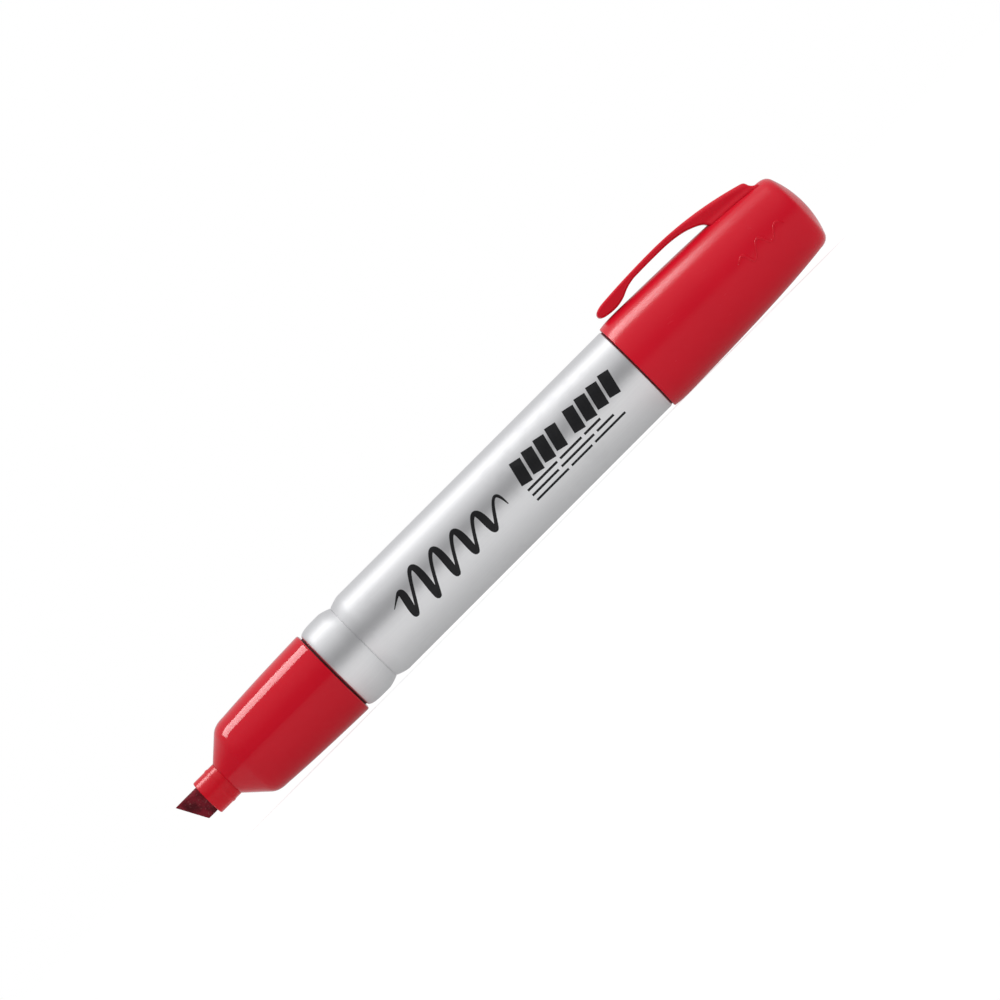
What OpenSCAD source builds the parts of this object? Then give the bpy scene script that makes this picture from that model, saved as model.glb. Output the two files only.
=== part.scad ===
// Large felt tip marker with a chisel nib, lying on its side with the cap posted on the rear.
// Each piece is drawn upright, with the nib towards +Z and the clip towards +X.
// lay_down() then turns it onto its side: nib towards -X, cap towards +X, clip uppermost.

/* [Barrel] */
// Radius of the bare aluminium barrel
grip_r = 9.2; // [8.6:0.1:10]
// Length of the straight bare barrel between the rolled bead and the cap
grip_len = 67; // [50:1:90]
// Thickness of the barrel's wall
barrel_wall = 0.45; // [0.35:0.05:0.5]
// Depth of the rolled bead that locks the nose in
bead_depth = 0.73; // [0.4:0.01:0.8]
// Half the width of the rolled bead
bead_half = 2.3; // [1.8:0.1:2.5]
// Length of the necked rear end that the posted cap covers
tail_len = 20.5; // [15:0.5:20.5]
// How much thinner in radius the necked rear end is
tail_step = 0.35; // [0.3:0.01:0.5]

/* [Nose] */
// Length of the red nose in front of the barrel's lip
nose_len = 27.45; // [26:0.05:29]
// How far the nose's plug reaches into the barrel
plug_len = 17; // [12:0.5:25]
// Radius at the small end of the nose's cone
nose_tip_r = 3.65; // [3.6:0.05:4.2]
// Radius of the hollow that holds the ink wad
wad_bore_r = 7.05; // [5.5:0.05:7.2]

/* [Nib] */
// Radius of the sleeve around the nib
ferrule_r = 3.67; // [3.6:0.01:3.9]
// Length of the sleeve in front of the nose
ferrule_len = 5.05; // [4:0.05:6]
// Width of the felt nib, across the chisel edge
nib_w = 5.6; // [4.5:0.1:5.7]
// Thickness of the felt nib
nib_t = 4.4; // [3.5:0.1:4.5]
// How far the long corner of the chisel stands in front of the sleeve
nib_long = 5.25; // [4:0.05:6]
// How far the short corner stands in front of the sleeve
nib_short = 2.25; // [1.5:0.05:3]
// Thickness of the nib at its writing edge
nib_edge = 1.2; // [0.8:0.1:2]

/* [Cap] */
// Length of the cap over all
cap_len = 42.25; // [41.5:0.25:46]
// How much further out than the barrel the cap's widest ring stands
cap_over = 0.66; // [0.6:0.01:1]
// Radial clearance between the cap's grip land and the necked barrel
post_gap = 0.05; // [0.03:0.01:0.1]
// Inner radius of the sealing cup
cup_r = 3.9; // [3.85:0.05:4.3]

/* [Clip] */
// Width of the clip
clip_w = 5; // [4:0.25:5]
// How far the clip's back stands out from the marker's axis
clip_top = 13.08; // [12.9:0.01:13.6]
// Clearance around the line where the clip bends
bend_gap = 0.1; // [0.08:0.01:0.15]

/* [Hidden] */
$fn = 96;
red = "firebrick";

// barrel stations along the axis
grip_end = grip_len / 2;
bead_z = grip_end + bead_half;
lip_len = 3.15;
lip_z = bead_z + bead_half + lip_len + 1.9;
lip_r = grip_r - 0.8;
tail_r = grip_r - tail_step;
tail_z = -grip_end - tail_len;
tail_round = 1.2;
tail_floor = 0.8;

// nose stations
seal_t = 0.3;
flange_z = lip_z + seal_t;
nose_z = lip_z + nose_len;
nose_r = grip_r + 0.02;
nose_draft = 0.028;
nose_droop = 0.29;
nose_edge = 0.5;
plug_gap = 0.05;
plug_z = lip_z - plug_len;
wad_top = nose_z - 10.6;
shelf_z = wad_top + 0.4;
ferrule_tail = 4.1;
ferrule_tail_r = 3.38;
ferrule_gap = 0.02;

// cap stations
cap_r = grip_r + cap_over;
mouth_z = -grip_end - 0.4;
cap_z = mouth_z - cap_len;
swell_len = 4.1;
swell = 0.26;
cap_draft = 0.0225;
cap_droop = 0.83;
cap_droop_len = 34.3;
dome_r = 19;
mouth_bore_r = nose_r + 0.1;
land_r = tail_r + post_gap;
land_start = 12;
land_end = 20.8;
cap_skin = 0.85;
cap_floor_z = cap_z + 1.95;
cap_floor_r = 5.9;
cup_len = 12.5;
cup_wall = 0.9;
cup_floor = 1;

// clip stations, measured from the cap's mouth
clip_peak_z = mouth_z - 16.5;
clip_fall = 0.0073;
clip_rise = 0.0028;
bend_z = mouth_z - 23.1;
bend_x = clip_top - 1.08;
bend_r = 0.72;
foot_z = mouth_z - 37.5;

// a smooth curve from a to c that leaves and arrives towards b
function bend(a, b, c, n = 8) =
    [for (i = [0:n]) let (t = i / n) a * (1 - t) ^ 2 + b * 2 * t * (1 - t) + c * t ^ 2];

// an outline's points shifted outwards, or inwards where by is negative
function grow(points, by) = [for (p = points) [p[0] + by, p[1]]];

function backwards(points) = [for (i = [len(points) - 1:-1:0]) points[i]];

// barrel outline from the rolled lip to the foot of the bead
barrel_front = concat(
    bend([lip_r, lip_z], [grip_r, lip_z - 0.25], [grip_r, lip_z - lip_len]),
    [for (i = [0:16]) let (a = 180 * (i / 8 - 1))
        [grip_r - bead_depth * (1 + cos(a)) / 2, bead_z + bead_half * (1 - i / 8)]]);

// barrel outline over the shoulder to the closed rear end
barrel_rear = [[grip_r, -grip_end], [tail_r, -grip_end - tail_step]];

// nose outline: the taper between its shoulder and its widest edge
nose_body = nose_z - flange_z - 7.2;
function nose_at(z) =
    let (t = z - flange_z) nose_r - nose_draft * t - nose_droop * (t / nose_body) ^ 3;

// cap outline at a distance t behind its widest ring
function cap_at(t) = cap_r - cap_draft * t - cap_droop * (t / cap_droop_len) ^ 4;

// clip's back at height z
function clip_back(z) =
    let (d = z - clip_peak_z) clip_top - (d > 0 ? clip_rise : clip_fall) * d ^ 2;

module lay_down() {
    rotate([0, -90, 0]) children();
}

module ring(r_in, r_out, z0, z1) {
    translate([0, 0, z0]) difference() {
        cylinder(r = r_out, h = z1 - z0);
        translate([0, 0, -1]) cylinder(r = r_in, h = z1 - z0 + 2);
    }
}

// a rectangle with rounded corners, as the nib's cross-section
module nib_section(grow_by = 0) {
    corner = 1.5;
    w = nib_w / 2 - corner;
    t = nib_t / 2 - corner;
    polygon([for (q = [0:3], i = [0:6])
        let (a = 90 * q + 15 * i, sx = (q == 0 || q == 3) ? 1 : -1, sy = q < 2 ? 1 : -1)
        [sx * w + (corner + grow_by) * cos(a), sy * t + (corner + grow_by) * sin(a)]]);
}

// impact-extruded aluminium can: rolled lip and bead in front, necked and closed at the rear
module barrel_tube() {
    outside = concat(barrel_front, barrel_rear, [[tail_r, tail_z + tail_round]],
        bend([tail_r, tail_z + tail_round], [tail_r, tail_z], [tail_r - tail_round, tail_z]));
    inside = concat(grow(barrel_front, -barrel_wall), grow(barrel_rear, -barrel_wall),
        [[tail_r - barrel_wall, tail_z + tail_round + tail_floor / 2]],
        bend([tail_r - barrel_wall, tail_z + tail_round],
            [tail_r - barrel_wall, tail_z + tail_floor],
            [tail_r - tail_round, tail_z + tail_floor], 4));
    color("silver") lay_down() rotate_extrude()
        polygon(concat(outside, [[0, tail_z], [0, tail_z + tail_floor]], backwards(inside)));
}

// moulded nose: cone and swelling body outside, plug locked under the barrel's bead
module nose_collar() {
    cone_end = [7.35, nose_z - 4];
    shoulder = [8.34, nose_z - 6.7];
    taper = [for (i = [1:12]) let (z = shoulder[1] - (shoulder[1] - flange_z - nose_edge) * i / 12)
        [nose_at(z), z]];
    edge = bend([nose_at(flange_z + nose_edge), flange_z + nose_edge],
        [nose_r, flange_z], [nose_r - nose_edge, flange_z], 5);
    plug = grow(barrel_front, -barrel_wall - plug_gap);
    color(red) lay_down() rotate_extrude() polygon(concat(
        [[ferrule_tail_r + ferrule_gap, nose_z], [nose_tip_r, nose_z]],
        bend(cone_end, [8.27, nose_z - 5], shoulder), taper, edge,
        [[plug[0][0], flange_z]], plug,
        [[grip_r - barrel_wall - plug_gap, plug_z + 0.6],
            [grip_r - barrel_wall - plug_gap - 0.6, plug_z],
            [wad_bore_r, plug_z], [wad_bore_r, shelf_z],
            [ferrule_tail_r + ferrule_gap, nose_z - ferrule_tail - 1.3]]));
}

// gasket squeezed between the barrel's lip and the nose's flange
module seal_ring() {
    color("dimgray") lay_down()
        ring(lip_r - barrel_wall, lip_r - 0.02, lip_z, flange_z);
}

// sleeve around the nib, with a fine raised ring that the cap's cup seals on
module nib_ferrule() {
    front_z = nose_z + ferrule_len;
    round_by = 0.35;
    ring_z = nose_z + 1.75;
    color(red) lay_down() difference() {
        rotate_extrude() polygon(concat(
            [[0, nose_z - ferrule_tail], [ferrule_tail_r, nose_z - ferrule_tail],
                [ferrule_tail_r, nose_z], [ferrule_r, nose_z], [ferrule_r, ring_z - 0.45]],
            bend([ferrule_r, ring_z - 0.45], [ferrule_r + 0.22, ring_z],
                [ferrule_r, ring_z + 0.45], 6),
            bend([ferrule_r, front_z - round_by], [ferrule_r, front_z],
                [ferrule_r - round_by, front_z], 5),
            [[0, front_z]]));
        translate([0, 0, nose_z - ferrule_tail - 1])
            linear_extrude(ferrule_len + ferrule_tail + 2) nib_section(0.04);
    }
}

// felt nib: chisel in front of the sleeve, round spike into the ink wad behind it
module nib() {
    front_z = nose_z + ferrule_len;
    slant = atan((nib_long - nib_short) / nib_w);
    wedge = 26;
    spike_r = 2;
    spike_len = 14;
    color("maroon") lay_down() {
        difference() {
            translate([0, 0, wad_top]) linear_extrude(front_z + nib_long - wad_top) nib_section();
            translate([nib_w / 2, 0, front_z + nib_long]) rotate([0, -slant, 0]) {
                translate([-20, -5, 0]) cube([40, 10, 10]);
                for (side = [-1, 1])
                    translate([0, side * nib_edge / 2, 0]) rotate([side * wedge, 0, 0])
                        translate([-20, side > 0 ? 0 : -10, -20]) cube([40, 10, 40]);
            }
        }
        translate([0, 0, wad_top - spike_len]) {
            cylinder(r1 = 0.6, r2 = spike_r, h = 4);
            translate([0, 0, 4]) cylinder(r = spike_r, h = spike_len - 4);
        }
    }
}

// fibre wad soaked with ink, with a pocket for the nib's spike and a channel for the vent tube
module ink_reservoir() {
    color("darkred") lay_down() difference() {
        translate([0, 0, tail_z + tail_floor])
            cylinder(r = wad_bore_r - 0.2, h = wad_top - tail_z - tail_floor);
        translate([0, 0, wad_top - 14.1]) cylinder(r = 2.05, h = 15);
        translate([wad_bore_r - 1.05, 0, tail_z]) cylinder(r = 0.75, h = wad_top - tail_z + 1);
    }
}

// thin film wrapped round the wad
module reservoir_sheath() {
    color("whitesmoke") lay_down()
        ring(wad_bore_r - 0.18, wad_bore_r - 0.05, tail_z + tail_floor + 1, wad_top - 1);
}

// thin vent tube that lets air past the wad
module breather_tube() {
    color("white") lay_down() translate([wad_bore_r - 1.05, 0, 0])
        ring(0.4, 0.7, tail_z + tail_floor, wad_top);
}

// clip seen from the side, from its toe by the cap's mouth to its foot on the cap
module clip_outline() {
    toe_z = mouth_z - 1.35;
    inner_x = clip_top - 1.2;
    back = [for (i = [0:16]) let (z = toe_z - 2.8 - (toe_z - 2.8 - foot_z) * i / 16)
        [clip_back(z), z]];
    polygon(concat(back,
        [[7.9, foot_z - 0.5], [8.72, mouth_z - 26.9]],
        bend([9.5, mouth_z - 26.8], [10.6, mouth_z - 25.6], [11.3, mouth_z - 23.4]),
        [[inner_x - 0.3, mouth_z - 21.9]],
        bend([inner_x - 0.05, mouth_z - 19], [inner_x + 0.06, mouth_z - 15],
            [inner_x - 0.06, mouth_z - 11], 5),
        bend([inner_x - 0.1, mouth_z - 10], [11.55, mouth_z - 9], [11.1, mouth_z - 8.2], 5),
        bend([10.8, mouth_z - 7.4], [10.2, mouth_z - 5.6], [10.25, mouth_z - 4.2], 5),
        bend([10.25, mouth_z - 4.2], [10.35, toe_z], [11.3, toe_z]),
        bend([11.3, toe_z], [12.35, toe_z], back[0], 6)));
}

module clip_slab() {
    rotate([90, 0, 0]) linear_extrude(clip_w, center = true) children();
}

module bend_pin(r) {
    translate([bend_x, 0, bend_z]) rotate([90, 0, 0]) cylinder(r = r, h = clip_w, center = true);
}

// cap with the clip's foot moulded on; its bore grips the necked end of the barrel
module cap_shell() {
    widest_z = mouth_z - swell_len;
    side_end = mouth_z - 38.7;
    corner_end = 6.9;
    outside = concat(
        [for (i = [0:6]) [cap_r - swell * (1 - i / 6) ^ 3, mouth_z - swell_len * i / 6]],
        [for (i = [1:16]) let (t = (widest_z - side_end) * i / 16) [cap_at(t), widest_z - t]],
        bend([cap_at(widest_z - side_end), side_end], [8.12, side_end - 1.75],
            [corner_end, cap_z + dome_r - sqrt(dome_r ^ 2 - corner_end ^ 2)]),
        [for (i = [7:-1:0]) let (r = corner_end * i / 8)
            [r, cap_z + dome_r - sqrt(dome_r ^ 2 - r ^ 2)]]);
    inside = concat(
        [[mouth_bore_r, mouth_z], [land_r, mouth_z - land_start], [land_r, mouth_z - land_end]],
        [for (i = [0:6]) let (z = mouth_z - 24.6 - 12.4 * i / 6)
            [cap_at(widest_z - z) - cap_skin, z]],
        bend([cap_at(widest_z - mouth_z + 37) - cap_skin, mouth_z - 37],
            [7.1, cap_floor_z], [cap_floor_r, cap_floor_z], 5),
        [[0, cap_floor_z]]);
    color(red) lay_down() {
        rotate_extrude() polygon(concat(outside, backwards(inside)));
        difference() {
            clip_slab() intersection() {
                clip_outline();
                translate([0, bend_z - bend_gap / 2 - 40]) square([20, 40]);
            }
            translate([bend_x, 0, bend_z]) rotate([90, 0, 0])
                cylinder(r = bend_r + bend_gap, h = clip_w + 2, center = true);
        }
    }
}

// sealing cup pressed into the cap's end; it closes over the nib's sleeve when the marker is capped
module cap_inner_cup() {
    color(red) lay_down() difference() {
        union() {
            translate([0, 0, cap_floor_z]) cylinder(r = cap_floor_r - 0.1, h = cup_floor);
            translate([0, 0, cap_floor_z]) cylinder(r = cup_r + cup_wall, h = cup_len);
        }
        translate([0, 0, cap_floor_z + cup_floor]) cylinder(r = cup_r, h = cup_len);
    }
}

// free arm of the clip, ending in a round edge on the line where it bends
module pocket_clip() {
    color(red) lay_down() {
        clip_slab() intersection() {
            clip_outline();
            translate([0, bend_z]) square([20, 40]);
        }
        bend_pin(bend_r);
    }
}

barrel_tube();
nose_collar();
seal_ring();
nib_ferrule();
nib();
ink_reservoir();
reservoir_sheath();
breather_tube();
cap_shell();
cap_inner_cup();
pocket_clip();
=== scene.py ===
import math

import bmesh
import bpy
from mathutils import Matrix, Vector
from mathutils import noise as field


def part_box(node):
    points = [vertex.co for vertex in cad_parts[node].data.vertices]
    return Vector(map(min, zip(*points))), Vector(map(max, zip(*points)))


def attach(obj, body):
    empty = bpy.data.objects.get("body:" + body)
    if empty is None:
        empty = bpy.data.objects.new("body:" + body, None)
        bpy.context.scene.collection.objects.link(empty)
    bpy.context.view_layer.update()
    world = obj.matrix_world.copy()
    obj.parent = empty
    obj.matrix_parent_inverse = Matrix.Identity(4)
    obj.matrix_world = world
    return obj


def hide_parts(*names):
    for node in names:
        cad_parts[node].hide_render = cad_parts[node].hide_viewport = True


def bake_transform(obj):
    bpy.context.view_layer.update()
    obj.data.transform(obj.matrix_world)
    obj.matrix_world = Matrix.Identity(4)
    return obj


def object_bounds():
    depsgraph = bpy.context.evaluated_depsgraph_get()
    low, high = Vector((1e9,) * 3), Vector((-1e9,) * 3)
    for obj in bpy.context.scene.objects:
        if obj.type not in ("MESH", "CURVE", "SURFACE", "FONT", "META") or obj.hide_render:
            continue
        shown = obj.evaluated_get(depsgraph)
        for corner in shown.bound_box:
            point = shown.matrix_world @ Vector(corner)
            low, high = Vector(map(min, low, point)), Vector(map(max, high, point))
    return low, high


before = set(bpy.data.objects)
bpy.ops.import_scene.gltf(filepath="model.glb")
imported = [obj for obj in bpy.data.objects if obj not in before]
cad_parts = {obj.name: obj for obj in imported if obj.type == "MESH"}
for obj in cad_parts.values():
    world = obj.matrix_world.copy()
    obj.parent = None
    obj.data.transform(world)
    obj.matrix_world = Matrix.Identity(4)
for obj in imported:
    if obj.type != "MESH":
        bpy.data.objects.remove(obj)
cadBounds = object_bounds()
print("frame loaded")

mm = 0.001


# where things are, in millimetres along and away from the marker's axis

barrelLow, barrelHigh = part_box("barrel_tube")
noseLow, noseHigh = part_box("nose_collar")
capLow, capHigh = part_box("cap_shell")
cupLow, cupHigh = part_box("cap_inner_cup")
sealLow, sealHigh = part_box("seal_ring")

lipX = barrelLow.x / mm
tailX = barrelHigh.x / mm
noseX = noseLow.x / mm
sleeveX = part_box("nib_ferrule")[0].x / mm
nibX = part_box("nib")[0].x / mm
mouthX = capLow.x / mm
capEndX = capHigh.x / mm
barrelR = barrelHigh.y / mm
noseR = noseHigh.y / mm
capR = capHigh.y / mm


def curve(a, b, c, steps):
    # from a to c, leaving and arriving along the lines to b
    points = []
    for i in range(steps + 1):
        t = i / steps
        points.append(tuple(a[k] * (1 - t) ** 2 + 2 * b[k] * t * (1 - t) + c[k] * t * t for k in range(2)))
    return points


def line(a, b, steps):
    return [tuple(a[k] + (b[k] - a[k]) * i / steps for k in range(2)) for i in range(steps + 1)]


def tidyOutline(points):
    # drops points that fall on the one before
    kept = []
    for p in points:
        if not kept or math.dist(p, kept[-1]) > 0.004:
            kept.append(p)
    return kept


def makeObject(name, mesh, smoothAngle=35):
    mesh.update()
    piece = bpy.data.objects.new(name, mesh)
    bpy.context.scene.collection.objects.link(piece)
    for face in mesh.polygons:
        face.use_smooth = True
    mesh.set_sharp_from_angle(angle=math.radians(smoothAngle))
    return piece


def lathe(name, outline, segments, closed=False):
    # outline holds (x, radius) in millimetres; a radius of 0 closes on the axis
    outline = tidyOutline(outline)
    vertices, rings, faces = [], [], []
    for x, radius in outline:
        if radius < 1e-6:
            rings.append([len(vertices)])
            vertices.append((x * mm, 0, 0))
            continue
        rings.append(range(len(vertices), len(vertices) + segments))
        for j in range(segments):
            a = 2 * math.pi * j / segments
            vertices.append((x * mm, radius * mm * math.cos(a), radius * mm * math.sin(a)))
    pairs = list(zip(rings, rings[1:]))
    if closed:
        pairs.append((rings[-1], rings[0]))
    for first, second in pairs:
        for j in range(segments):
            k = (j + 1) % segments
            if len(first) == 1:
                faces.append((first[0], second[k], second[j]))
            elif len(second) == 1:
                faces.append((first[j], first[k], second[0]))
            else:
                faces.append((first[j], first[k], second[k], second[j]))
    mesh = bpy.data.meshes.new(name)
    mesh.from_pydata(vertices, [], faces)
    outwards(mesh)
    return makeObject(name, mesh)


def outwards(mesh):
    # turns every face to point out of the solid
    work = bmesh.new()
    work.from_mesh(mesh)
    bmesh.ops.recalc_face_normals(work, faces=work.faces)
    if work.calc_volume(signed=True) < 0:
        bmesh.ops.reverse_faces(work, faces=work.faces)
    work.to_mesh(mesh)
    work.free()


# small helpers that add shader nodes

def addNode(tree, kind, **settings):
    node = tree.nodes.new(kind)
    for key, value in settings.items():
        setattr(node, key, value)
    return node


def plug(tree, target, value):
    if isinstance(value, bpy.types.NodeSocket):
        tree.links.new(value, target)
    else:
        target.default_value = value


def weighted(tree, *pairs):
    # the sum of some values, each times its weight
    total = None
    for value, weight in pairs:
        part = calc(tree, "MULTIPLY", value, weight)
        total = part if total is None else calc(tree, "ADD", total, part)
    return total


def calc(tree, operation, *values):
    node = addNode(tree, "ShaderNodeMath", operation=operation)
    for socket, value in zip(node.inputs, values):
        plug(tree, socket, value)
    return node.outputs[0]


def remap(tree, value, low, high, toLow=0.0, toHigh=1.0):
    node = addNode(tree, "ShaderNodeMapRange", interpolation_type="SMOOTHSTEP")
    amounts = {"Value": value, "From Min": low, "From Max": high, "To Min": toLow, "To Max": toHigh}
    for name, amount in amounts.items():
        plug(tree, node.inputs[name], amount)
    return node.outputs[0]


def noise(tree, vector, scale, detail=2.0, roughness=0.5):
    node = addNode(tree, "ShaderNodeTexNoise")
    amounts = {"Vector": vector, "Scale": scale, "Detail": detail, "Roughness": roughness}
    for name, amount in amounts.items():
        plug(tree, node.inputs[name], amount)
    return node.outputs[0]


def mixColour(tree, factor, first, second, blend="MIX"):
    node = addNode(tree, "ShaderNodeMix", data_type="RGBA", blend_type=blend)
    plug(tree, node.inputs[0], factor)
    plug(tree, node.inputs[6], first)
    plug(tree, node.inputs[7], second)
    return node.outputs[2]


def newGroup(name, inputs, outputs):
    tree = bpy.data.node_groups.new(name, "ShaderNodeTree")
    for label, kind, value in inputs:
        socket = tree.interface.new_socket(name=label, in_out="INPUT", socket_type=kind)
        if value is not None:
            socket.default_value = value
    for label, kind in outputs:
        tree.interface.new_socket(name=label, in_out="OUTPUT", socket_type=kind)
    return tree, addNode(tree, "NodeGroupInput"), addNode(tree, "NodeGroupOutput")


def stretched(tree, vector, amounts):
    node = addNode(tree, "ShaderNodeVectorMath", operation="MULTIPLY")
    plug(tree, node.inputs[0], vector)
    node.inputs[1].default_value = amounts
    return node.outputs[0]


# the shared effects

def buildAroundAxis():
    # unrolls the surface: distance along the axis, distance round the barrel, and radius
    tree, source, result = newGroup("aroundAxis", [("Position", "NodeSocketVector", None)],
                                    [("Unrolled", "NodeSocketVector"), ("Along", "NodeSocketFloat")])
    split = addNode(tree, "ShaderNodeSeparateXYZ")
    plug(tree, split.inputs[0], source.outputs["Position"])
    angle = calc(tree, "ARCTAN2", split.outputs[1], split.outputs[2])
    across = calc(tree, "SQRT", calc(tree, "ADD", calc(tree, "POWER", split.outputs[1], 2.0),
                                     calc(tree, "POWER", split.outputs[2], 2.0)))
    join = addNode(tree, "ShaderNodeCombineXYZ")
    plug(tree, join.inputs[0], split.outputs[0])
    plug(tree, join.inputs[1], calc(tree, "MULTIPLY", angle, barrelR * mm))
    plug(tree, join.inputs[2], across)
    plug(tree, result.inputs["Unrolled"], join.outputs[0])
    plug(tree, result.inputs["Along"], split.outputs[0])
    return tree


def buildSmudges():
    # soft handling marks: a mask that is 1 where the finish is dulled
    tree, source, result = newGroup("smudges", [("Position", "NodeSocketVector", None),
                                                ("Scale", "NodeSocketFloat", 90.0),
                                                ("Spread", "NodeSocketFloat", 0.5)],
                                    [("Mask", "NodeSocketFloat")])
    place, scale, spread = (source.outputs[name] for name in ("Position", "Scale", "Spread"))
    broad = noise(tree, place, scale, 3.0, 0.55)
    fine = noise(tree, place, calc(tree, "MULTIPLY", scale, 7.0))
    both = weighted(tree, (broad, 0.75), (fine, 0.25))
    plug(tree, result.inputs["Mask"], remap(tree, both, spread, calc(tree, "ADD", spread, 0.2)))
    return tree


def buildMouldedSkin():
    # moulded plastic: slow waves where it shrank, and a fine skin over them
    tree, source, result = newGroup("mouldedSkin", [("Position", "NodeSocketVector", None),
                                                    ("Fine Scale", "NodeSocketFloat", 1800.0)],
                                    [("Height", "NodeSocketFloat"), ("Tone", "NodeSocketFloat")])
    waves = noise(tree, source.outputs["Position"], 160.0, 1.0)
    skin = noise(tree, source.outputs["Position"], source.outputs["Fine Scale"])
    plug(tree, result.inputs["Height"], weighted(tree, (waves, 0.85), (skin, 0.15)))
    plug(tree, result.inputs["Tone"], noise(tree, source.outputs["Position"], 55.0, 3.0))
    return tree


def buildScratches():
    # fine hairline scratches along the first axis of the vector given
    tree, source, result = newGroup("scratches", [("Position", "NodeSocketVector", None),
                                                  ("Amount", "NodeSocketFloat", 0.5)],
                                    [("Mask", "NodeSocketFloat")])
    hair = noise(tree, stretched(tree, source.outputs["Position"], (260.0, 9000.0, 300.0)), 1.0, 2.0, 0.6)
    patch = remap(tree, noise(tree, source.outputs["Position"], 120.0), 0.4, 0.65)
    patch = calc(tree, "MULTIPLY", patch, source.outputs["Amount"])
    plug(tree, result.inputs["Mask"], calc(tree, "MULTIPLY", remap(tree, hair, 0.62, 0.75), patch))
    return tree


def buildEdgeWear():
    # 1 on sharp outer edges, broken up by noise
    tree, source, result = newGroup("edgeWear", [("Position", "NodeSocketVector", None)],
                                    [("Mask", "NodeSocketFloat")])
    geometry = addNode(tree, "ShaderNodeNewGeometry")
    edge = remap(tree, geometry.outputs["Pointiness"], 0.53, 0.62)
    broken = remap(tree, noise(tree, source.outputs["Position"], 900.0, 3.0), 0.35, 0.6)
    plug(tree, result.inputs["Mask"], calc(tree, "MULTIPLY", edge, broken))
    return tree


def buildFibres():
    # felt: short fibres that run mostly along the axis, with pores between
    tree, source, result = newGroup("fibres", [("Position", "NodeSocketVector", None),
                                               ("Scale", "NodeSocketFloat", 1.0)],
                                    [("Height", "NodeSocketFloat"), ("Tone", "NodeSocketFloat")])
    scaling = addNode(tree, "ShaderNodeVectorMath", operation="SCALE")
    plug(tree, scaling.inputs[0], source.outputs["Position"])
    plug(tree, scaling.inputs["Scale"], source.outputs["Scale"])
    scaled = scaling.outputs[0]
    strands = noise(tree, stretched(tree, scaled, (900.0, 5200.0, 5200.0)), 1.0, 3.0, 0.65)
    cross = noise(tree, stretched(tree, scaled, (3600.0, 1500.0, 1700.0)), 1.0, 3.0, 0.6)
    pores = addNode(tree, "ShaderNodeTexVoronoi", feature="F1")
    plug(tree, pores.inputs["Vector"], scaled)
    pores.inputs["Scale"].default_value = 2600.0
    height = weighted(tree, (strands, 0.6), (cross, 0.4), (pores.outputs["Distance"], 0.25))
    plug(tree, result.inputs["Height"], height)
    plug(tree, result.inputs["Tone"], noise(tree, scaled, 420.0, 4.0, 0.6))
    return tree


builders = (buildAroundAxis, buildSmudges, buildMouldedSkin, buildScratches, buildEdgeWear, buildFibres)
groups = {tree.name: tree for tree in [build() for build in builders]}
print("shader groups built")


def newMaterial(name, **shader):
    material = bpy.data.materials.new(name)
    material.use_nodes = True
    tree = material.node_tree
    principled = tree.nodes["Principled BSDF"]
    for key, value in shader.items():
        principled.inputs[key.replace("_", " ")].default_value = value
    place = addNode(tree, "ShaderNodeTexCoord").outputs["Object"]
    return material, tree, principled, place


def useGroup(tree, name, **inputs):
    node = addNode(tree, "ShaderNodeGroup", node_tree=groups[name])
    for key, value in inputs.items():
        plug(tree, node.inputs[key.replace("_", " ")], value)
    return node.outputs


def bumpInto(tree, principled, height, look):
    bump = addNode(tree, "ShaderNodeBump")
    bump.inputs["Strength"].default_value = look["bump"]
    bump.inputs["Distance"].default_value = look["bumpDepth"]
    plug(tree, bump.inputs["Height"], height)
    plug(tree, principled.inputs["Normal"], bump.outputs[0])


# the materials, each with its own values above it

barrelLook = {
    "light": (0.83, 0.832, 0.84, 1),
    "dull": (0.64, 0.642, 0.652, 1),
    "bare": (0.9, 0.9, 0.91, 1),           # worn edges
    "roughness": 0.345,
    "drawnLines": (60.0, 5200.0, 1.0),     # noise scale along and round the barrel
    "turnedLines": (7000.0, 60.0, 1.0),    # rings that the cap rubs on
    "grain": 5200.0,
    "rubFrom": -0.6,                       # from the cap's mouth
    "rubTo": 1.5,
    "bump": 0.30,
    "bumpDepth": 0.00005,
}


def makeBarrelMetal():
    look = barrelLook
    material, tree, principled, place = newMaterial("barrelAluminium", Metallic=1.0)
    around = useGroup(tree, "aroundAxis", Position=place)
    drawn = noise(tree, stretched(tree, around["Unrolled"], look["drawnLines"]), 1.0, 3.0, 0.6)
    turned = noise(tree, stretched(tree, around["Unrolled"], look["turnedLines"]), 1.0, 2.0, 0.6)
    grain = noise(tree, place, look["grain"])
    smudge = useGroup(tree, "smudges", Position=place, Scale=70.0, Spread=0.52)["Mask"]
    scratch = useGroup(tree, "scratches", Position=around["Unrolled"], Amount=0.6)["Mask"]
    wear = useGroup(tree, "edgeWear", Position=place)["Mask"]
    rubbed = remap(tree, around["Along"], (mouthX + look["rubFrom"]) * mm, (mouthX + look["rubTo"]) * mm)
    rubbed = calc(tree, "MULTIPLY", rubbed, remap(tree, turned, 0.5, 0.72))
    tone = weighted(tree, (drawn, 0.35), (smudge, 0.25), (rubbed, 0.35))
    colour = mixColour(tree, tone, look["light"], look["dull"])
    colour = mixColour(tree, calc(tree, "MULTIPLY", wear, 0.5), colour, look["bare"])
    plug(tree, principled.inputs["Base Color"], colour)
    rough = weighted(tree, (smudge, 0.07), (drawn, 0.06), (scratch, -0.10))
    plug(tree, principled.inputs["Roughness"], calc(tree, "ADD", rough, look["roughness"]))
    height = weighted(tree, (grain, 0.5), (drawn, 0.5), (scratch, -0.6), (rubbed, 0.5))
    bumpInto(tree, principled, height, look)
    return material


redLook = {"scatter": (1.0, 0.12, 0.08), "worn": (0.75, 0.05, 0.05, 1), "bump": 0.045, "bumpDepth": 0.0001}


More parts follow.
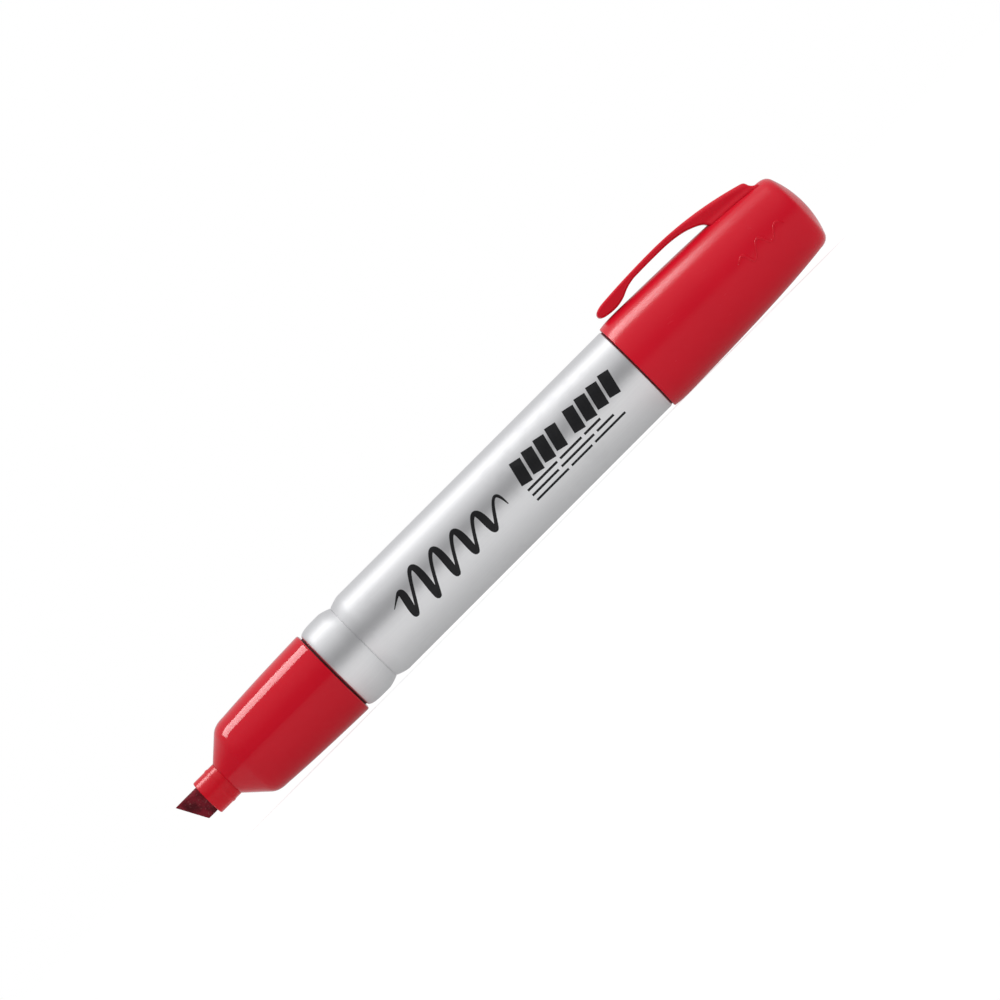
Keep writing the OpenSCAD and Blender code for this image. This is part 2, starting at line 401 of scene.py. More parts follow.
def makeRedPlastic(name, deep, bright, roughness, shift):
    # shift moves the noise, so that no two parts carry the same marks
    look = redLook
    material, tree, principled, place = newMaterial(name, Subsurface_Weight=0.05, Subsurface_Scale=0.0006,
                                                    Specular_IOR_Level=0.22, IOR=1.49)
    principled.inputs["Subsurface Radius"].default_value = look["scatter"]
    shifted = addNode(tree, "ShaderNodeVectorMath", operation="ADD")
    plug(tree, shifted.inputs[0], place)
    shifted.inputs[1].default_value = (shift, 0, 0)
    place = shifted.outputs[0]
    skin = useGroup(tree, "mouldedSkin", Position=place)
    smudge = useGroup(tree, "smudges", Position=place, Scale=110.0, Spread=0.5)["Mask"]
    scratch = useGroup(tree, "scratches", Position=place, Amount=0.35)["Mask"]
    wear = useGroup(tree, "edgeWear", Position=place)["Mask"]
    colour = mixColour(tree, skin["Tone"], deep, bright)
    colour = mixColour(tree, calc(tree, "MULTIPLY", wear, 0.10), colour, look["worn"])
    plug(tree, principled.inputs["Base Color"], colour)
    rough = weighted(tree, (smudge, 0.07), (scratch, 0.12), (wear, 0.15))
    plug(tree, principled.inputs["Roughness"], calc(tree, "ADD", rough, roughness))
    height = calc(tree, "SUBTRACT", skin["Height"], calc(tree, "MULTIPLY", scratch, 0.12))
    bumpInto(tree, principled, height, look)
    return material


inkLook = {
    "black": (0.004, 0.004, 0.005, 1),
    "grey": (0.014, 0.014, 0.016, 1),
    "dusty": (0.03, 0.03, 0.032, 1),
    "bump": 0.15,
    "bumpDepth": 0.00003,
}


def makePrintInk():
    look = inkLook
    material, tree, principled, place = newMaterial("printInk", Specular_IOR_Level=0.25)
    grain = noise(tree, place, 3800.0, 3.0)
    smudge = useGroup(tree, "smudges", Position=place, Scale=160.0, Spread=0.5)["Mask"]
    colour = mixColour(tree, grain, look["black"], look["grey"])
    colour = mixColour(tree, calc(tree, "MULTIPLY", smudge, 0.3), colour, look["dusty"])
    plug(tree, principled.inputs["Base Color"], colour)
    plug(tree, principled.inputs["Roughness"], calc(tree, "ADD", 0.32, calc(tree, "MULTIPLY", grain, 0.2)))
    bumpInto(tree, principled, grain, look)
    return material


feltLook = {
    "dark": (0.075, 0.006, 0.010, 1),
    "soaked": (0.19, 0.010, 0.02, 1),
    # paler, greyer colour for the raised fibres: painted sheen where light catches the fibre tips
    "sheenTips": (0.21, 0.07, 0.07, 1),
    "bump": 0.7,
    "bumpDepth": 0.00009,
}


def makeNibFelt():
    look = feltLook
    material, tree, principled, place = newMaterial("nibFelt", Specular_IOR_Level=0.12)
    fibre = useGroup(tree, "fibres", Position=place, Scale=1.0)
    colour = mixColour(tree, remap(tree, fibre["Tone"], 0.35, 0.65), look["dark"], look["soaked"])
    # painted sheen: the raised fibres turn paler and greyer
    colour = mixColour(tree, remap(tree, fibre["Height"], 0.66, 0.9), colour, look["sheenTips"])
    plug(tree, principled.inputs["Base Color"], colour)
    rough = calc(tree, "SUBTRACT", 0.9, calc(tree, "MULTIPLY", fibre["Tone"], 0.25))
    plug(tree, principled.inputs["Roughness"], rough)
    bumpInto(tree, principled, fibre["Height"], look)
    return material


wadLook = {"dark": (0.20, 0.006, 0.012, 1), "light": (0.42, 0.02, 0.03, 1), "bump": 0.8,
           "bumpDepth": 0.00012}


def makeWadFibre():
    look = wadLook
    material, tree, principled, place = newMaterial("wadFibre", Sheen_Weight=0.2, Sheen_Roughness=0.5)
    fibre = useGroup(tree, "fibres", Position=place, Scale=0.6)
    plug(tree, principled.inputs["Base Color"], mixColour(tree, fibre["Tone"], look["dark"], look["light"]))
    rough = calc(tree, "ADD", 0.75, calc(tree, "MULTIPLY", fibre["Tone"], 0.2))
    plug(tree, principled.inputs["Roughness"], rough)
    bumpInto(tree, principled, fibre["Height"], look)
    return material


filmLook = {"clean": (0.78, 0.62, 0.60, 1), "stained": (0.62, 0.10, 0.12, 1), "bump": 0.5,
            "bumpDepth": 0.0001}


def makeWadFilm():
    look = filmLook
    material, tree, principled, place = newMaterial("wadFilm", Coat_Weight=0.3, Coat_Roughness=0.1)
    wrinkle = noise(tree, stretched(tree, place, (90.0, 700.0, 700.0)), 1.0, 4.0, 0.6)
    stain = useGroup(tree, "smudges", Position=place, Scale=60.0, Spread=0.45)["Mask"]
    plug(tree, principled.inputs["Base Color"], mixColour(tree, stain, look["clean"], look["stained"]))
    plug(tree, principled.inputs["Roughness"], calc(tree, "ADD", 0.2, calc(tree, "MULTIPLY", wrinkle, 0.2)))
    bumpInto(tree, principled, wrinkle, look)
    return material


ventLook = {"dull": (0.80, 0.78, 0.74, 1), "pale": (0.88, 0.87, 0.84, 1), "bump": 0.2, "bumpDepth": 0.00005}


def makeVentPlastic():
    look = ventLook
    material, tree, principled, place = newMaterial("ventPlastic")
    skin = useGroup(tree, "mouldedSkin", Position=place)
    plug(tree, principled.inputs["Base Color"], mixColour(tree, skin["Tone"], look["dull"], look["pale"]))
    rough = calc(tree, "ADD", 0.35, calc(tree, "MULTIPLY", skin["Height"], 0.15))
    plug(tree, principled.inputs["Roughness"], rough)
    bumpInto(tree, principled, skin["Height"], look)
    return material


# the seal ring's dark rubber, tinted reddish so that the ring also stands in for the dark red shade line
# where the nose meets the lip: partly painted shade
rubberAndShadeLook = {
    "dark": (0.030, 0.010, 0.010, 1),
    "light": (0.06, 0.018, 0.018, 1),
    "dusty": (0.12, 0.10, 0.10, 1),
    "bump": 0.3,
    "bumpDepth": 0.00003,
}


def makeSealRubberAndShade():
    look = rubberAndShadeLook
    material, tree, principled, place = newMaterial("sealRubberAndShade")
    grain = noise(tree, place, 4200.0, 3.0)
    dust = useGroup(tree, "smudges", Position=place, Scale=400.0, Spread=0.5)["Mask"]
    colour = mixColour(tree, grain, look["dark"], look["light"])
    colour = mixColour(tree, calc(tree, "MULTIPLY", dust, 0.3), colour, look["dusty"])
    plug(tree, principled.inputs["Base Color"], colour)
    plug(tree, principled.inputs["Roughness"], calc(tree, "ADD", 0.55, calc(tree, "MULTIPLY", dust, 0.25)))
    bumpInto(tree, principled, grain, look)
    return material


barrelMetal = makeBarrelMetal()
noseRed = makeRedPlastic("noseRed", (0.54, 0.003, 0.015, 1), (0.64, 0.005, 0.019, 1), 0.085, 0.11)
sleeveRed = makeRedPlastic("sleeveRed", (0.56, 0.003, 0.013, 1), (0.66, 0.005, 0.017, 1), 0.22, 0.37)
capRed = makeRedPlastic("capRed", (0.61, 0.003, 0.017, 1), (0.71, 0.006, 0.023, 1), 0.22, 0.73)
cupRed = makeRedPlastic("cupRed", (0.55, 0.003, 0.014, 1), (0.64, 0.005, 0.018, 1), 0.26, 0.91)
printInk = makePrintInk()
nibFelt = makeNibFelt()
wadFibre = makeWadFibre()
wadFilm = makeWadFilm()
ventPlastic = makeVentPlastic()
sealRubberAndShade = makeSealRubberAndShade()
print("materials made")


def finishPiece(piece, body, material, slot, *nodes):
    piece.data.materials.clear()
    piece.data.materials.append(material)
    if nodes:
        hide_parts(*nodes)
    if body:
        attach(piece, body)
    return piece


# barrel

barrelShape = {
    "wall": 0.45,
    "lipRadius": 8.4,      # opening of the rolled lip
    "lipRoll": 0.25,       # how soon the lip's curve turns back
    "lipLength": 3.15,     # how far back the lip's shoulder runs
    "lipEdge": 0.06,       # flat left out at each side of the lip's rim
    "beadCentre": 7.35,    # behind the lip
    "beadHalf": 2.5,
    "beadDepth": 0.75,
    "beadPower": 1.45,     # higher is a sharper valley
    "crease": 0.16,        # fine line at the bottom of the bead
    "creaseHalf": 0.035,   # as a share of the bead's half width
    "neckStart": 20.5,     # ahead of the closed end
    "neckStep": 0.35,
    "endRound": 1.2,
    "endRim": 1.9,         # flat rim round the closed end's dish
    "endSlope": 3.0,       # where the dish's slope ends
    "endDish": 0.35,
    "floor": 0.8,
}


def barrelFront(inset=0.0):
    s = barrelShape
    shoulder = (lipX + s["lipLength"], barrelR)
    points = curve((lipX, s["lipRadius"]), (lipX + s["lipRoll"], barrelR), shoulder, 20)
    bead = lipX + s["beadCentre"]
    half = [1 - i / 30 for i in range(28)] + [0.07, 0.05, 0.035, 0.018, 0.008]   # finer towards the crease
    for u in [-u for u in half] + half[::-1]:
        dip = s["beadDepth"] * max(0.0, 1 - math.sqrt(u * u + 0.0016)) ** s["beadPower"]
        dip += s["crease"] * max(0.0, 1 - abs(u) / s["creaseHalf"])
        points.append((bead + s["beadHalf"] * u, barrelR - dip))
    return [(x, r - inset) for x, r in points]


def makeBarrel():
    s = barrelShape
    bodyX = lipX + s["beadCentre"] + s["beadHalf"]
    neckX, neckR = tailX - s["neckStart"], barrelR - s["neckStep"]
    stepFrom, stepHalf, stepTo = (neckX - 0.2, barrelR), (neckX + 0.18, barrelR - 0.16), (neckX + 0.6, neckR)
    outer = barrelFront() + line((bodyX, barrelR), stepFrom, 24)
    outer += curve(stepFrom, (neckX, barrelR), stepHalf, 5)
    outer += curve(stepHalf, (neckX + s["neckStep"], neckR), stepTo, 5)
    outer += line(stepTo, (tailX - s["endRound"], neckR), 10)
    outer += curve((tailX - s["endRound"], neckR), (tailX, neckR), (tailX, neckR - s["endRound"]), 12)
    rimR = neckR - s["endRim"]
    slope = (tailX - s["endDish"] * 0.7, neckR - s["endSlope"])
    outer += curve((tailX, rimR), (tailX, rimR - 0.5), slope, 8)
    outer += curve(slope, (tailX - s["endDish"], slope[1] - 0.4), (tailX - s["endDish"], 0), 10)
    innerR, innerNeckR, floorX = barrelR - s["wall"], neckR - s["wall"], tailX - s["floor"]
    inner = barrelFront(s["wall"]) + line((bodyX, innerR), (neckX - 0.1, innerR), 8)
    inner += line((neckX + 0.4, innerNeckR), (floorX - 0.8, innerNeckR), 6)
    inner += curve((floorX - 0.8, innerNeckR), (floorX, innerNeckR), (floorX, innerNeckR - 0.8), 6)
    inner += [(floorX, 0)]
    lip = [(lipX, s["lipRadius"] - s["lipEdge"]), (lipX, s["lipRadius"] - s["wall"] + s["lipEdge"])]
    return lathe("barrel_can", outer[::-1] + lip + inner, 192)


barrelCan = makeBarrel()
finishPiece(barrelCan, "barrel", barrelMetal, "barrel_metal", "barrel_tube")
print("barrel made")


# printing on the barrel: ink standing a hair's breadth proud

printShape = {"proud": 0.012, "depth": 0.02, "step": 0.25}


def onSurface(x, v, lift, radiusAt):
    # v is the distance round the surface from the side that faces -Y, towards the clip
    r = radiusAt(x)
    a = v / r
    return Vector((x * mm, -(r + lift) * mm * math.cos(a), (r + lift) * mm * math.sin(a)))


def ribbons(name, strokes, radiusAt, proud, depth, crown=0.0, across=2):
    # each stroke is a list of (x, v, half width); crown raises its middle
    vertices, faces = [], []
    for stroke in strokes:
        first = len(vertices)
        columns = 2 * across + 1
        count = len(stroke)
        for i, (x, v, half) in enumerate(stroke):
            before, after = stroke[max(i - 1, 0)], stroke[min(i + 1, count - 1)]
            dx, dv = after[0] - before[0], after[1] - before[1]
            length = math.hypot(dx, dv) or 1.0
            nx, nv = -dv / length, dx / length
            for j in range(columns):
                u = j / across - 1
                lift = proud + crown * math.sqrt(max(0.0, 1 - u * u))
                vertices.append(onSurface(x + nx * half * u, v + nv * half * u, lift, radiusAt))
            for j in range(columns):
                u = j / across - 1
                vertices.append(onSurface(x + nx * half * u, v + nv * half * u, -depth, radiusAt))
        row = 2 * columns
        for i in range(count - 1):
            a, b = first + i * row, first + (i + 1) * row
            for j in range(columns - 1):
                faces.append((a + j, a + j + 1, b + j + 1, b + j))
                faces.append((a + columns + j, b + columns + j, b + columns + j + 1, a + columns + j + 1))
            faces.append((a, b, b + columns, a + columns))
            faces.append((a + columns - 1, a + 2 * columns - 1, b + 2 * columns - 1, b + columns - 1))
        for a in (first, first + (count - 1) * row):
            over = tuple(range(a, a + columns))
            under = tuple(range(a + columns, a + 2 * columns))
            faces.append(over + under[::-1])
    mesh = bpy.data.meshes.new(name)
    mesh.from_pydata(vertices, [], faces)
    outwards(mesh)
    return makeObject(name, mesh, 50)


def waveStroke(look, steps=260):
    # a freehand wave that dies away, drawn with a slanted pen
    points = []
    for i in range(steps + 1):
        t = i / steps
        phase = 2 * math.pi * look["waves"] * t
        size = look["height"] * (1 - look["fade"] * t) * min(1.0, 0.35 + 3.2 * t)
        x = look["start"] + look["length"] * t + look["lean"] * math.sin(phase) * (1 - look["fade"] * t)
        v = look["centre"] + size * math.sin(phase + look["phase"])
        slope = math.cos(phase + look["phase"])
        half = look["thin"] + (look["thick"] - look["thin"]) * (0.5 - 0.5 * slope) ** 1.3
        taper = min(1.0, t * 14 + 0.25) * min(1.0, (1 - t) * 9 + 0.12)
        points.append((x, v, half * taper))
    return points


def slantedBar(x0, x1, v0, v1, lean, steps=14):
    # a block that leans, as a stroke along v
    points = []
    middle, half = (x0 + x1) / 2, (x1 - x0) / 2
    for i in range(steps + 1):
        t = i / steps
        points.append((middle + lean * (t - 0.5), v0 + (v1 - v0) * t, half))
    return points


# lengths run along the axis and heights round the barrel
waveLook = {"start": -27.6, "length": 27.8, "centre": -0.3, "height": 4.3, "fade": 0.55, "waves": 5.5,
            "lean": 1.5, "phase": 0.3, "thin": 0.32, "thick": 0.74}
blockLook = {"count": 8, "start": 4.6, "low": -0.7, "high": 3.9, "width": 2.35, "gap": 0.62,
             "splitAfter": 4, "split": 1.5, "lean": 1.1}
ruleLook = {
    "start": 4.3,
    "height": 0.46,
    "gap": 0.75,
    "rows": [(-1.75, (7.4, 5.4, 4.0)), (-3.0, (6.6, 8.2, 4.2)), (-4.25, (8.0, 5.2, 7.6))],   # place, lengths
}


def barrelRadius(x):
    return barrelR


def blockStrokes(look):
    strokes, x = [], look["start"]
    for i in range(look["count"]):
        strokes.append(slantedBar(x, x + look["width"], look["low"], look["high"], look["lean"]))
        x += look["width"] + look["gap"] + (look["split"] if i + 1 == look["splitAfter"] else 0.0)
    return strokes


def ruleStrokes(look):
    strokes = []
    for v, lengths in look["rows"]:
        x = look["start"]
        for length in lengths:
            steps = max(2, int(length / printShape["step"]))
            strokes.append([(x + length * i / steps, v, look["height"] / 2) for i in range(steps + 1)])
            x += length + look["gap"]
    return strokes


proud, depth = printShape["proud"], printShape["depth"]
wavePrint = ribbons("print_wave", [waveStroke(waveLook)], barrelRadius, proud, depth)
blockPrint = ribbons("print_blocks", blockStrokes(blockLook), barrelRadius, proud, depth, across=4)
rulePrint = ribbons("print_rules", ruleStrokes(ruleLook), barrelRadius, proud, depth)
for piece in (wavePrint, blockPrint, rulePrint):
    finishPiece(piece, "barrel", printInk, "barrel_metal")
print("printing made")


# nose, sleeve and seal: pairs are (distance behind the nose's front face, radius)

noseShape = {
    "tipRadius": 3.65,
    "tipEdge": 0.12,
    "coneStart": (0.1, 3.74),
    "coneEnd": (4, 7.35),
    "coneBulge": (5, 8.27),
    "shoulder": (6.7, 8.34),
    "draft": 0.028,
    "droop": 0.29,             # extra taper that grows towards the shoulder
    "droopEnd": 7.2,
    "edge": 0.5,
    "flangeBehindLip": -0.3,
    "plugLength": 17.0,
    "plugGap": 0.05,
    "plugEdge": 0.6,
    "bore": 7.05,
    "boreEnd": 10.2,
    "sleeveBore": 3.4,
    "sleeveBoreEnd": 5.4,
}


def makeNose():
    s = noseShape
    flangeX = lipX + s["flangeBehindLip"]
    body = abs(flangeX - noseX) - s["droopEnd"]
    coneStart, coneEnd, bulge, shoulder = ((noseX + s[key][0], s[key][1])
                                           for key in ("coneStart", "coneEnd", "coneBulge", "shoulder"))

    def radiusAt(x):
        t = flangeX - x
        return noseR - s["draft"] * t - s["droop"] * (t / body) ** 3

    outer = [(noseX, s["sleeveBore"]), (noseX, s["tipRadius"] - s["tipEdge"])]
    outer += curve(outer[-1], (noseX, s["tipRadius"]), coneStart, 4)
    outer += line(coneStart, coneEnd, 8)
    outer += curve(coneEnd, bulge, shoulder, 16)
    span = flangeX - s["edge"] - shoulder[0]
    sideXs = [shoulder[0] + span * i / 30 for i in range(1, 31)]
    outer += [(x, radiusAt(x)) for x in sideXs]
    outer += curve(outer[-1], (flangeX, noseR), (flangeX, noseR - s["edge"]), 8)
    inset = barrelShape["wall"] + s["plugGap"]
    outer += [(flangeX, barrelShape["lipRadius"] - inset)]
    outer += barrelFront(inset)
    plugX, plugR, edge = lipX + s["plugLength"], barrelR - inset, s["plugEdge"]
    outer += [(plugX - edge, plugR), (plugX, plugR - edge), (plugX, s["bore"])]
    outer += [(noseX + s["boreEnd"], s["bore"]), (noseX + s["sleeveBoreEnd"], s["sleeveBore"])]
    return lathe("nose", outer, 192, closed=True)


nose = makeNose()
finishPiece(nose, "barrel", noseRed, "nose_plastic", "nose_collar")


sleeveShape = {
    "radius": 3.67,
    "corner": 0.35,        # at the front rim
    "tail": 4.1,           # how far it goes into the nose
    "tailRadius": 3.38,
    "tailEdge": 0.15,
    "ringAt": 1.75,        # ahead of the nose
    "ringHalf": 0.45,
    "ringRise": 0.11,
    "nibWidth": 5.6,
    "nibThickness": 4.4,
    "nibCorner": 1.5,
    "slotGap": 0.04,
}


def sectionRadius(angle, grow):
    # distance from the axis to the nib's rounded rectangle, at an angle from +Z
    s = sleeveShape
    corner = s["nibCorner"] + grow
    halfZ, halfY = s["nibWidth"] / 2 + grow, s["nibThickness"] / 2 + grow
    dz, dy = abs(math.cos(angle)), abs(math.sin(angle))
    low, high = 0.0, 6.0      # the answer lies between these
    for _ in range(40):
        middle = (low + high) / 2
        oz, oy = max(0.0, middle * dz - halfZ + corner), max(0.0, middle * dy - halfY + corner)
        inside = math.hypot(oz, oy) <= corner and middle * dz <= halfZ and middle * dy <= halfY
        low, high = (middle, high) if inside else (low, middle)
    return low


def makeSleeve():
    s = sleeveShape
    segments = 144
    backX = noseX + s["tail"]
    ringX = noseX - s["ringAt"]
    radius, tailR, tailEdge, corner = s["radius"], s["tailRadius"], s["tailEdge"], s["corner"]
    outer = [(backX, tailR - tailEdge), (backX - tailEdge, tailR), (noseX + 0.02, tailR)]
    outer += [(noseX, radius - 0.03), (noseX - 0.05, radius)]
    outer += line((noseX - 0.3, radius), (ringX + s["ringHalf"], radius), 3)
    outer += [(ringX + s["ringHalf"] * (1 - i / 6), radius + s["ringRise"] * math.sin(math.pi * i / 12))
              for i in range(1, 13)]
    outer += line((ringX - s["ringHalf"] - 0.1, radius), (sleeveX + corner, radius), 6)
    outer += curve((sleeveX + corner, radius), (sleeveX, radius), (sleeveX, radius - corner), 6)
    outer = tidyOutline(outer)
    # the slot for the nib, as (x, how far its mouth flares)
    inner = [(sleeveX, 0.10), (sleeveX + 0.04, 0.04), (sleeveX + 0.12, 0.0)]
    inner += [(backX - 0.1, 0.0), (backX, 0.05)]
    rings = [(x, [r] * segments) for x, r in outer]
    angles = [2 * math.pi * j / segments for j in range(segments)]
    rings += [(x, [sectionRadius(a, s["slotGap"] + flare) for a in angles]) for x, flare in inner]
    vertices, faces = [], []
    for x, radii in rings:
        for a, r in zip(angles, radii):
            vertices.append((x * mm, r * mm * math.sin(a), r * mm * math.cos(a)))
    for i in range(len(rings)):
        k = (i + 1) % len(rings)
        for j in range(segments):
            m = (j + 1) % segments
            faces.append((i * segments + j, i * segments + m, k * segments + m, k * segments + j))
    mesh = bpy.data.meshes.new("nib_sleeve")
    mesh.from_pydata(vertices, [], faces)
    outwards(mesh)
    return makeObject("nib_sleeve", mesh)


nibSleeve = makeSleeve()
finishPiece(nibSleeve, "barrel", sleeveRed, "ferrule_plastic", "nib_ferrule")


sealShape = {"shy": 0.12, "crown": 0.06, "shoulder": 0.1, "lap": 0.02}


def makeSeal():
    s = sealShape
    low, high = sealLow.x / mm, sealHigh.x / mm
    outerR = sealHigh.y / mm - s["shy"]
    innerR = barrelShape["lipRadius"] - barrelShape["wall"] + s["lap"]
    sideR = outerR - s["shoulder"]
    outline = [(low, innerR), (low, sideR)]
    outline += curve((low, sideR), ((low + high) / 2, outerR + s["crown"]), (high, sideR), 8)
    outline += [(high, innerR)]
    return lathe("seal", outline, 160, closed=True)


seal = makeSeal()
finishPiece(seal, "barrel", sealRubberAndShade, "seal_rubber", "seal_ring")
print("nose made")


# felt nib

nibShape = {
    "long": 5.25,          # from the sleeve to the longer corner
    "short": 2.25,         # and to the shorter one
    "edge": 1.2,
    "wedge": 26.0,         # degrees that each face leans
    "back": 10.6,          # how far it goes in behind the nose's front face
    "spikeRadius": 2.0,
    "spikeLength": 14.0,
    "spikeTaper": 4.0,
    "voxel": 0.11,
    "fuzz": 0.035,
}


def makeSpike(backX):
    # the round tail that reaches into the ink wad
    s = nibShape
    taperX, endX = backX + s["spikeLength"] - s["spikeTaper"], backX + s["spikeLength"]
    outline = [(backX - 1.0, 0), (backX - 1.0, s["spikeRadius"]), (taperX, s["spikeRadius"])]
    outline += curve((taperX, s["spikeRadius"]), (endX - 0.6, 0.8), (endX, 0.0), 8)
    return lathe("felt_spike", outline, 48)


def fuzzed(mesh):
    # lifts short strands out of the skin, mostly along the axis
    places = [(v.co.copy(), v.normal.copy()) for v in mesh.vertices]
    for vertex, (place, normal) in zip(mesh.vertices, places):
        p = place / mm
        strand = field.noise(Vector((p.x * 0.9, p.y * 5.5, p.z * 5.5)))
        fine = field.noise(p * 3.1)
        vertex.co = place + normal * (strand * 0.7 + fine * 0.3) * nibShape["fuzz"] * mm


def makeNib():
    s, section = nibShape, sleeveShape
    backX = noseX + s["back"]
    slant = math.atan((s["long"] - s["short"]) / section["nibWidth"])
    work = bmesh.new()
    count = 72
    ring = []
    for j in range(count):
        a = 2 * math.pi * j / count
        radius = sectionRadius(a, 0.0)
        ring.append(work.verts.new((nibX * mm, radius * mm * math.sin(a), radius * mm * math.cos(a))))
    moved = bmesh.ops.extrude_face_region(work, geom=[work.faces.new(ring)])
    top = [v for v in moved["geom"] if isinstance(v, bmesh.types.BMVert)]
    bmesh.ops.translate(work, verts=top, vec=(abs(backX - nibX) * mm, 0, 0))

    def cut(point, normal):
        every = work.verts[:] + work.edges[:] + work.faces[:]
        result = bmesh.ops.bisect_plane(work, geom=every, plane_co=point, plane_no=normal, clear_outer=True,
                                        dist=1e-8)
        rim = [e for e in result["geom_cut"] if isinstance(e, bmesh.types.BMEdge)]
        bmesh.ops.edgeloop_fill(work, edges=rim)

    longCorner = Vector((nibX * mm, 0, section["nibWidth"] / 2 * mm))
    tipNormal = Vector((-math.cos(slant), 0, -math.sin(slant)))
    cut(longCorner, tipNormal)
    lean = math.radians(s["wedge"])
    for side in (-1, 1):
        start = longCorner + Vector((0, side * s["edge"] / 2 * mm, 0))
        cut(start, tipNormal * math.sin(lean) + Vector((0, side * math.cos(lean), 0)))
    bmesh.ops.recalc_face_normals(work, faces=work.faces)
    spike = makeSpike(backX)
    work.from_mesh(spike.data)
    bpy.data.objects.remove(spike)
    mesh = bpy.data.meshes.new("felt_nib")
    work.to_mesh(mesh)
    work.free()
    piece = makeObject("felt_nib", mesh)
    remesh = piece.modifiers.new("voxels", "REMESH")
    remesh.mode = "VOXEL"
    remesh.voxel_size = s["voxel"] * mm
    soften = piece.modifiers.new("soften", "SMOOTH")
    soften.factor = 0.5
    soften.iterations = 5
    bpy.context.view_layer.update()
    baked = bpy.data.meshes.new_from_object(piece.evaluated_get(bpy.context.evaluated_depsgraph_get()))
    piece.modifiers.clear()
    piece.data = baked
    fuzzed(baked)
    for face in baked.polygons:
        face.use_smooth = True
    return piece


feltNib = makeNib()
finishPiece(feltNib, "barrel", nibFelt, "nib_felt", "nib")
print("nib made")


# cap

capShape = {
    "swellLength": 4.1,
    "swell": 0.26,         # the mouth draws in by this much
    "draft": 0.0225,
    "droop": 0.83,         # extra taper that grows towards the end
    "droopLength": 34.3,
    "sideEnd": 38.7,
    "cornerReach": 1.75,   # the rounded corner's control point, past the side
    "cornerRadius": 8.12,
    "cornerEnd": 6.9,
    "dome": 19.0,
    "gateRadius": 1.2,     # dimple where the plastic was let in
    "gateDepth": 0.1,
    "mouthBore": 9.32,
    "land": 8.9,
    "landStart": 12.0,
    "landEnd": 20.8,
    "cavityStart": 24.6,
    "cavityEnd": 37.0,
    "skin": 0.85,
    "floor": 1.95,
    "floorRound": 7.1,
    "floorRadius": 5.9,
}


def capRadius(x):
    s = capShape
    along = x - mouthX
    if along < s["swellLength"]:
        return capR - s["swell"] * max(0.0, 1 - along / s["swellLength"]) ** 3
    t = along - s["swellLength"]
    return capR - s["draft"] * t - s["droop"] * (t / s["droopLength"]) ** 4


def domeX(r):
    return capEndX - capShape["dome"] + math.sqrt(capShape["dome"] ** 2 - r * r)


def capSide(start, end, steps, inset=0.0):
    # points along the cap's side, given as distances behind its mouth
    xs = [mouthX + start + (end - start) * i / steps for i in range(steps + 1)]
    return [(x, capRadius(x) - inset) for x in xs]


def makeCap():
    s = capShape
    rimX, swellX = mouthX + 0.14, s["swellLength"]
    outer = curve((mouthX + 0.02, capR - s["swell"] - 0.12), (mouthX, capR - s["swell"]),
                  (rimX, capRadius(rimX)), 5)
    outer += capSide(0.2, swellX, 16)
    outer += capSide(swellX, s["sideEnd"], 48)[1:]
    cornerX = mouthX + s["sideEnd"] + s["cornerReach"]
    outer += curve(outer[-1], (cornerX, s["cornerRadius"]), (domeX(s["cornerEnd"]), s["cornerEnd"]), 20)
    gate, dip = s["gateRadius"], s["gateDepth"]
    domeSpan = gate + 0.4 - s["cornerEnd"]
    domeRadii = [s["cornerEnd"] + domeSpan * i / 20 for i in range(1, 21)]
    outer += [(domeX(r), r) for r in domeRadii]
    outer += curve((domeX(gate), gate), (domeX(0.95), 0.95), (domeX(0.8) - dip, 0.75), 4)
    outer += [(domeX(0.5) - dip - 0.02, 0.5), (domeX(0.0) - dip, 0.0)]
    inner = [(mouthX, s["mouthBore"] + 0.05), (mouthX + 0.1, s["mouthBore"])]
    inner += line((mouthX + 0.5, s["mouthBore"] - 0.02), (mouthX + s["landStart"], s["land"]), 8)
    inner += line((mouthX + s["landStart"] + 0.2, s["land"]), (mouthX + s["landEnd"], s["land"]), 4)
    inner += capSide(s["cavityStart"], s["cavityEnd"], 12, s["skin"])
    floorX = capEndX - s["floor"]
    inner += curve(inner[-1], (floorX, s["floorRound"]), (floorX, s["floorRadius"]), 10)
    inner += [(floorX, 0)]
    return lathe("cap", outer[::-1] + inner, 192)


capBody = makeCap()
finishPiece(capBody, "cap", capRed, "cap_plastic", "cap_shell")


cupShape = {
    "bore": 3.9,
    "wall": 0.9,
    "flange": 1.0,         # thickness of its base
    "flangeEdge": 0.1,
    "fillet": 0.5,
    "taper": 0.12,         # the wall thins by this much at the mouth
    "bead": 0.08,          # rib in the bore that grips the sleeve
    "beadAt": 1.0,
}


def makeCup():
    s = cupShape
    low, high = cupLow.x / mm, cupHigh.x / mm
    flangeR, bore, edge = cupHigh.y / mm, s["bore"], s["flangeEdge"]
    wallR, flangeX = bore + s["wall"], high - s["flange"]
    mouthR, baseR = wallR - s["taper"], bore - 0.05
    outline = [(high, 0), (high, flangeR - edge), (high - edge, flangeR)]
    outline += [(flangeX + edge, flangeR), (flangeX, flangeR - edge)]
    outline += curve((flangeX, wallR + s["fillet"]), (flangeX, wallR), (flangeX - s["fillet"], wallR), 6)
    outline += line((high - 2.0, wallR), (low + 1.2, wallR - 0.1), 8)
    outline += curve((low + 0.4, mouthR), (low, mouthR), (low, bore + 0.45), 6)
    outline += curve((low, bore + 0.4), (low, bore), (low + 0.5, bore), 6)
    for i in range(9):
        outline.append((low + s["beadAt"] + 0.1 * i, bore - s["bead"] * math.sin(math.pi * i / 8)))
    outline += line((low + 2.2, bore), (high - 1.4, baseR), 8)
    outline += curve((high - 1.4, baseR), (flangeX, baseR), (flangeX, bore - s["fillet"]), 5)
    outline += [(flangeX, 0)]
    return lathe("inner_cup", outline, 128)


innerCup = makeCup()
finishPiece(innerCup, "cap", cupRed, "cup_plastic", "cap_inner_cup")

